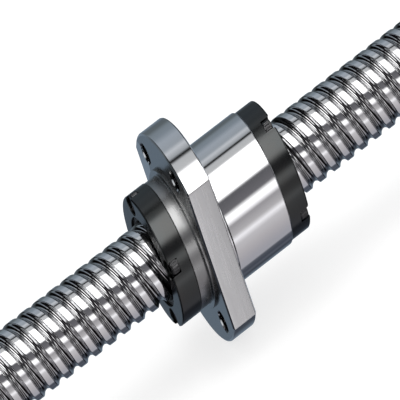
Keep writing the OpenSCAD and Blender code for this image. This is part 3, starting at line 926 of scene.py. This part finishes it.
def race_groove(bearing, x0, side):
    """Shoulder radius and groove arc, in rising x, of the outer (+1) or inner (-1) ring."""
    radius = bearing.ball_radius + GROOVE_GAP
    middle = x0 + BEARING_WIDTH / 2
    shoulder = bearing.ball_circle + side * bearing.ball_radius * SHOULDER
    rise = side * (shoulder - bearing.ball_circle)
    start = math.atan2(rise, math.sqrt(radius * radius - rise ** 2))
    arc = [(middle + radius * math.cos(a), bearing.ball_circle + side * radius * math.sin(a))
           for a in np.linspace(start, math.pi - start, 18)]
    return shoulder, arc[::-1]


def build_outer_ring(node, x0, bearing):
    x1 = x0 + BEARING_WIDTH
    shoulder, groove = race_groove(bearing, x0, 1)
    step = shoulder + 0.35       # recess at each side
    profile = [
        (x0, step), (x0 + 0.25, step), (x0 + 0.45, shoulder, 0.08), (x0 + 1.0, shoulder),
        *groove,
        (x1 - 1.0, shoulder), (x1 - 0.45, shoulder, 0.08), (x1 - 0.25, step), (x1, step),
        (x1, bearing.outer_radius, 0.4), (x0, bearing.outer_radius, 0.4)]
    turned_ring(node, profile, RING_STEEL, "support")


def build_inner_ring(node, x0, bearing):
    x1 = x0 + BEARING_WIDTH
    bore = bearing.bore_radius
    shoulder, groove = race_groove(bearing, x0, -1)
    profile = [(x0, bore, 0.25), (x0, shoulder, 0.2), *groove,
               (x1, shoulder, 0.2), (x1, bore, 0.25)]
    turned_ring(node, profile, RING_STEEL, "screw")


def seal_profile(inner, outer):
    """Shield with a bead, a shallow step and a lip; x runs outwards from its inner face."""
    t = SEAL_THICKNESS
    middle = (inner + outer) / 2
    return [
        (0, inner, 0.05), (0, outer, 0.05), (t, outer, 0.12), (t, outer - 0.35, 0.08),
        (t - 0.18, outer - 0.5, 0.05), (t - 0.18, middle + 0.15, 0.05),
        (t - 0.02, middle, 0.08), (t - 0.02, inner + 0.45, 0.08),
        (t - 0.25, inner + 0.2, 0.05), (t - 0.25, inner, 0.04)]


def build_seals(node, x0, x1, bearing):
    """One shield at each outer side of a bearing group from x0 to x1."""
    profile = seal_profile(bearing.seal_inner, bearing.seal_outer)
    bm = bmesh.new()
    for face_x, side in ((x0 + SEAL_INSET, -1), (x1 - SEAL_INSET, 1)):
        placed = shifted(profile, face_x, side)
        verts, faces = revolve(fillet(placed, steps=3), 112, closed=True)
        made = [bm.verts.new([c * MM for c in v]) for v in verts]
        for face in faces:
            bm.faces.new([made[i] for i in face])
    name = f"{node}_visual"
    mesh = bpy.data.meshes.new(name)
    bmesh.ops.recalc_face_normals(bm, faces=bm.faces)
    bm.to_mesh(mesh)
    bm.free()
    mesh.materials.append(SEAL_RUBBER)
    ob = link_object(name, mesh)
    tidy(ob, 40)
    register(ob, node, "support")


def build_bearings():
    fixed = [mm_box(f"fixed_outer_ring_{i}")[0][0] for i in (1, 2)]
    for i, x in enumerate(fixed, 1):
        build_outer_ring(f"fixed_outer_ring_{i}", x, FIXED)
    for i, x in enumerate(fixed, 1):
        build_inner_ring(f"fixed_inner_ring_{i}", x, FIXED)
    build_seals("fixed_seals", fixed[0], fixed[1] + BEARING_WIDTH, FIXED)
    x = mm_box("float_outer_ring")[0][0]
    build_outer_ring("float_outer_ring", x, FLOAT)
    build_inner_ring("float_inner_ring", x, FLOAT)
    build_seals("float_seals", x, x + BEARING_WIDTH, FLOAT)


# ------------------------------------------------------------------ spacer and locknut
LOCKNUT_RADIUS = 12
# wrench slot across (y, z), with softened mouth edges
SLOT_OUTLINE = [
    (-2.25, 14.5), (-2.25, 12.1), (-2.0, 11.75), (-2.0, 10.45), (-1.75, 10.2),
    (1.75, 10.2), (2.0, 10.45), (2.0, 11.75), (2.25, 12.1), (2.25, 14.5),
]
SET_SCREW_ANGLES = (45, 225)
# (distance from the screw axis, r)
SET_HOLE_PROFILE = [(5.5, 0), (5.5, 1.55), (11.75, 1.55), (12.1, 1.9), (14, 1.9), (14, 0)]
SET_SCREW_TOP = 11.2
SET_SCREW_PROFILE = [(6.2, 0), (6.2, 0.9), (6.7, 1.5, 0.1),
                     (SET_SCREW_TOP, 1.5, 0.2), (SET_SCREW_TOP, 0)]


def build_spacer():
    low, high = mm_box("clamp_spacer")
    x0, x1 = low[0], high[0]
    bore, outer = FIXED.bore_radius, 8.5
    profile = [(x0, bore, 0.15), (x0, outer, 0.35), (x1, outer, 0.35), (x1, bore, 0.15)]
    turned_ring("clamp_spacer", profile, RING_STEEL, "screw", segments=112)


def build_locknut(x0, x1):
    profile = [
        (x0, 6, 0.15), (x0, 8.6), (x0, LOCKNUT_RADIUS, 0.5), (x1, LOCKNUT_RADIUS, 0.7),
        (x1, 9.0, 0.2), (x1 - 0.35, 8.7, 0.1), (x1 - 0.35, 7.2, 0.1), (x1 - 0.1, 6.7),
        (x1 - 0.6, 6, 0.1)]
    ob = visual("locknut", *revolve(fillet(profile), 144, closed=True), [LOCK_BLACK])
    slot = straight_prism(SLOT_OUTLINE, x0 - 1, x1 + 1)
    tools = [tool(slot, at(90 * k)) for k in range(4)]
    for angle in SET_SCREW_ANGLES:
        tools.append(tool(revolve(SET_HOLE_PROFILE, 48), radial(angle, (x0 + x1) / 2)))
    boolean(ob, tools)
    tidy(ob)
    register(ob, "locknut", "screw")


def build_set_screws(x):
    node = "locknut_set_screws"
    solid = revolve(fillet(SET_SCREW_PROFILE, steps=3, closed=False), 48)
    ob = visual(node, *solid, [SCREW_BLACK])
    boolean(ob, [tool(hex_socket(1.5, bottom=9.6, mouth=SET_SCREW_TOP, chamfer=0.1))])
    repeat_mesh(ob, [radial(angle, x * MM) for angle in SET_SCREW_ANGLES], SCREW_BLACK)
    register(ob, node, "screw")


# ------------------------------------------------------------------ retaining ring
RING_EDGE = 0.07                       # edge rounding
BAND_OUTER, BAND_INNER = 6.4, 4.75
LUG_ANGLE = 15                         # degrees either side of the gap's middle
LUG_CIRCLE, LUG_RADIUS = 7, 1.5
EYE_CIRCLE, EYE_RADIUS = 7.2, 0.6


def arc_points(radius, start, sweep, steps, centre=(0, 0)):
    """Points on an arc; angles in degrees."""
    angles = [math.radians(start + sweep * k / steps) for k in range(steps + 1)]
    return [(centre[0] + radius * math.cos(a), centre[1] + radius * math.sin(a))
            for a in angles]


def lug_centre(radius, side):
    a = math.radians(side * LUG_ANGLE)
    return radius * math.cos(a), radius * math.sin(a)


def ring_lug(side):
    return arc_points(LUG_RADIUS, side * -75, side * 165, 18, lug_centre(LUG_CIRCLE, side))


def build_retaining_ring():
    """External ring with two lugs, an eye in each, and a gap, drawn as a flat curve.

    In the curve's plane, the first coordinate points at the gap.
    """
    low, high = mm_box("retaining_ring")
    x0, x1 = low[0], high[0]
    curve = bpy.data.curves.new("ring", "CURVE")
    curve.dimensions = "2D"
    curve.fill_mode = "BOTH"
    curve.bevel_depth = RING_EDGE * MM
    curve.bevel_resolution = 1
    curve.offset = -RING_EDGE * MM
    curve.extrude = ((x1 - x0) / 2 - RING_EDGE) * MM
    outline = (ring_lug(1) + arc_points(BAND_OUTER, 24, 312, 120)
               + ring_lug(-1)[::-1] + arc_points(BAND_INNER, 347, -334, 120))
    eyes = [arc_points(EYE_RADIUS, 0, 360, 28, lug_centre(EYE_CIRCLE, side))[:-1]
            for side in (1, -1)]
    for points in (outline, *eyes):
        spline = curve.splines.new("POLY")
        spline.points.add(len(points) - 1)
        for target, (u, v) in zip(spline.points, points):
            target.co = (u * MM, v * MM, 0, 1)
        spline.use_cyclic_u = True
    drawn = link_object("ring", curve)
    graph = bpy.context.evaluated_depsgraph_get()
    mesh = bpy.data.meshes.new_from_object(drawn.evaluated_get(graph), depsgraph=graph)
    bpy.data.objects.remove(drawn)
    bpy.data.curves.remove(curve)
    # the gap points down to -Z and the thickness lies along X
    turn = Matrix(((0, 0, 1, 0), (0, 1, 0, 0), (-1, 0, 0, 0), (0, 0, 0, 1)))
    mesh.transform(Matrix.Translation(((x0 + x1) / 2 * MM, 0, 0)) @ turn)
    mesh.materials.clear()
    mesh.materials.append(LOCK_BLACK)
    ob = link_object("retaining_ring_visual", mesh)
    tidy(ob, 35)
    register(ob, "retaining_ring", "screw")


# ------------------------------------------------------------------ assembly
# balls and cages keep their CAD shapes
KEPT_SHAPES = (
    ("load_balls", BALL_STEEL), ("return_balls", BALL_STEEL),
    ("fixed_bearing_balls", BALL_STEEL), ("float_bearing_balls", BALL_STEEL),
    ("fixed_cages", CAGE_AMBER), ("float_cage", CAGE_AMBER),
)


def colour_kept_shapes():
    for node, material in KEPT_SHAPES:
        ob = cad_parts[node]
        if not ob.material_slots:
            ob.data.materials.append(material)
        for slot in ob.material_slots:
            slot.material = material


build_shaft()
build_nut()
for cap_end in CAP_ENDS:
    build_cap(*cap_end)
for cap_end in CAP_ENDS:
    build_cap_screws(*cap_end)
for end, seat, side, _ in CAP_ENDS:
    turned_ring(f"{end}_wiper", shifted(WIPER_PROFILE, seat, side), WIPER_DARK, "nut")
build_bearings()
build_spacer()
locknut_low, locknut_high = mm_box("locknut")
build_locknut(locknut_low[0], locknut_high[0])
build_set_screws((locknut_low[0] + locknut_high[0]) / 2)
build_retaining_ring()
colour_kept_shapes()

# ------------------------------------------------------------------ studio (metres from here)
FLOOR_SIZE = 60
FLOOR_GAP = 0.0002       # below the lowest point of the product


def build_floor():
    """Pale, faintly glowing floor that reflections do not see."""
    bm = bmesh.new()
    bmesh.ops.create_grid(bm, x_segments=1, y_segments=1, size=FLOOR_SIZE)
    mesh = bpy.data.meshes.new("floor")
    bm.to_mesh(mesh)
    bm.free()
    floor = bpy.data.objects.new("floor", mesh)
    floor.location = (0, 0, cad_box[0][2] - FLOOR_GAP)
    scene.collection.objects.link(floor)
    m = Material("floor_pale")
    m.set("Base Color", (0.34, 0.34, 0.34, 1))
    m.set("Emission Color", (1, 1, 1, 1))
    m.set("Emission Strength", 0.72)
    m.set("Roughness", 0.95)
    m.set("Specular IOR Level", 0.1)
    mesh.materials.append(m.material)
    floor.visible_glossy = False


# Panels round the screw axis: (degrees from overhead towards -Y, sRGB colour, gain)
PANELS = [
    (-180, (150, 151, 158), 1.0), (-176, (80, 84, 93), 1.0), (-166, (66, 70, 80), 1.0),
    (-158, (80, 85, 95), 1.0), (-150, (56, 61, 70), 1.0), (-128, (104, 116, 128), 1.0),
    (-106, (112, 126, 140), 1.0), (-90, (84, 92, 98), 1.0), (-78, (88, 96, 100), 1.0),
    (-68, (114, 124, 132), 1.0), (-56, (122, 132, 141), 1.0), (-44, (150, 158, 167), 1.0),
    (-30, (146, 153, 160), 1.0), (-24, (188, 192, 197), 1.0), (-15.5, (152, 156, 160), 1.0),
    (-12.8, (14, 15, 17), 1.0), (-10.6, (14, 15, 17), 1.0), (-8, (178, 180, 182), 1.0),
    (3, (186, 187, 188), 1.0), (10, (255, 255, 255), 2.3), (46, (255, 255, 255), 2.3),
    (54, (88, 88, 92), 1.0), (74, (103, 102, 106), 1.0), (81, (255, 255, 255), 1.25),
    (89, (250, 249, 251), 1.1), (96, (150, 148, 151), 1.0), (112, (176, 174, 176), 1.0),
    (120, (236, 235, 238), 1.05), (129, (190, 188, 191), 1.0), (145, (176, 173, 176), 1.0),
    (160, (164, 162, 167), 1.0), (172, (156, 156, 163), 1.0),
]
# Dark gobos across the panels, square to the axis: (x of the direction, brightness)
GOBOS = [
    (-1.0, 1.0), (-0.97, 1.0), (-0.93, 0.012), (-0.75, 0.012), (-0.71, 1.0), (-0.61, 1.0),
    (-0.57, 0.004), (-0.14, 0.004), (-0.09, 1.0), (0.255, 1.0), (0.31, 0.004), (0.56, 0.004),
    (0.61, 1.0), (0.71, 1.0), (0.75, 0.012), (0.93, 0.012), (0.97, 1.0),
]
# How strongly the gobos act: (degrees as for the panels, strength)
GOBO_STRENGTH = [(-160, 1.0), (-145, 0.0), (-88, 0.0), (-74, 1.0)]


def turn_position(degrees):
    return (degrees + 180) / 360


def build_world():
    """Panels seen only by reflections; all other rays meet plain white."""
    world = bpy.data.worlds.new("studio")
    scene.world = world
    world.use_nodes = True
    w = Nodes(world.node_tree)
    output = w.node("ShaderNodeOutputWorld")
    x, y, z = w.split(w.node("ShaderNodeTexCoord").outputs["Generated"])
    angle = w.calc("ARCTAN2", w.calc("MULTIPLY", y, -1), z)
    turn = w.remap(angle, source=(-math.pi, math.pi))
    panels = w.ramp(turn, [(turn_position(degrees), shade(srgb(*rgb), gain))
                           for degrees, rgb, gain in PANELS])
    # towards the ends of the axis the panels fade into grey, dark below and light above
    fade = w.remap(w.calc("ABSOLUTE", x), source=(0.88, 0.97), interpolation="SMOOTHSTEP")
    height = w.remap(z, source=(-1, 1))
    grey = w.ramp(height, [(0, srgb(110, 116, 124)), (1, srgb(235, 238, 240))])
    lit = w.mix(fade, panels, grey)
    gobos = w.ramp(w.remap(x, source=(-1, 1)), [((p + 1) / 2, (v, v, v)) for p, v in GOBOS])
    strength = w.ramp(turn, [(turn_position(d), (v, v, v)) for d, v in GOBO_STRENGTH])
    reflected = w.node("ShaderNodeBackground")
    w.feed(reflected.inputs[0], w.mix(strength, lit, gobos, blend="MULTIPLY"))
    reflected.inputs[1].default_value = 1.25
    plain = w.node("ShaderNodeBackground")
    plain.inputs[0].default_value = (1, 1, 1, 1)
    plain.inputs[1].default_value = 0.95
    path = w.node("ShaderNodeLightPath")
    chosen = w.node("ShaderNodeMixShader")
    w.feed(chosen.inputs[0], path.outputs["Is Glossy Ray"])
    w.feed(chosen.inputs[1], plain.outputs[0])
    w.feed(chosen.inputs[2], reflected.outputs[0])
    w.feed(output.inputs[0], chosen.outputs[0])


KEY_PLACE = Vector((-0.25, 0.15, 1.2))
KEY_TARGET = Vector((0, 0, 0))


def build_key_light():
    light = bpy.data.lights.new("key", "AREA")
    light.shape = "DISK"
    light.size = 0.7
    light.energy = 4.0
    ob = bpy.data.objects.new("key", light)
    ob.location = KEY_PLACE
    ob.rotation_mode = "QUATERNION"
    ob.rotation_quaternion = (KEY_TARGET - KEY_PLACE).to_track_quat("-Z", "Y")
    scene.collection.objects.link(ob)
    ob.visible_camera = False
    ob.visible_glossy = False


# The view is squeezed sideways to about three quarters: the film plane is tipped about the
# picture's horizontal, which skews the camera's matrix. The stand carries that skew as the
# parent inverse.
FILM_TIP = 0.69999       # radians
CAMERA_RIGHT = Vector((0.84118, -0.39275, -0.3717))
CAMERA_UP = Vector((0.49543, 0.28429, 0.82081))
CAMERA_BACK = Vector((-0.2167, -0.8746, 0.43372))
CAMERA_PLACE = Vector((-0.65108, -2.62817, 1.30891))


def build_camera():
    tipped_up = CAMERA_UP * math.cos(FILM_TIP) + CAMERA_BACK * math.sin(FILM_TIP)
    rows = list(zip(CAMERA_RIGHT, tipped_up, CAMERA_BACK, CAMERA_PLACE))
    data = bpy.data.cameras.new("camera")
    data.lens = 900
    data.sensor_width = 36
    data.clip_start = 0.05
    data.clip_end = 60
    camera = bpy.data.objects.new("camera", data)
    stand = link_object("camera_stand", None)
    scene.collection.objects.link(camera)
    camera.parent = stand
    camera.matrix_parent_inverse = Matrix(rows + [(0, 0, 0, 1)])
    scene.camera = camera


build_floor()
build_world()
build_key_light()
build_camera()
scene.view_settings.view_transform = "Standard"
scene.view_settings.look = "None"

bpy.context.view_layer.update()
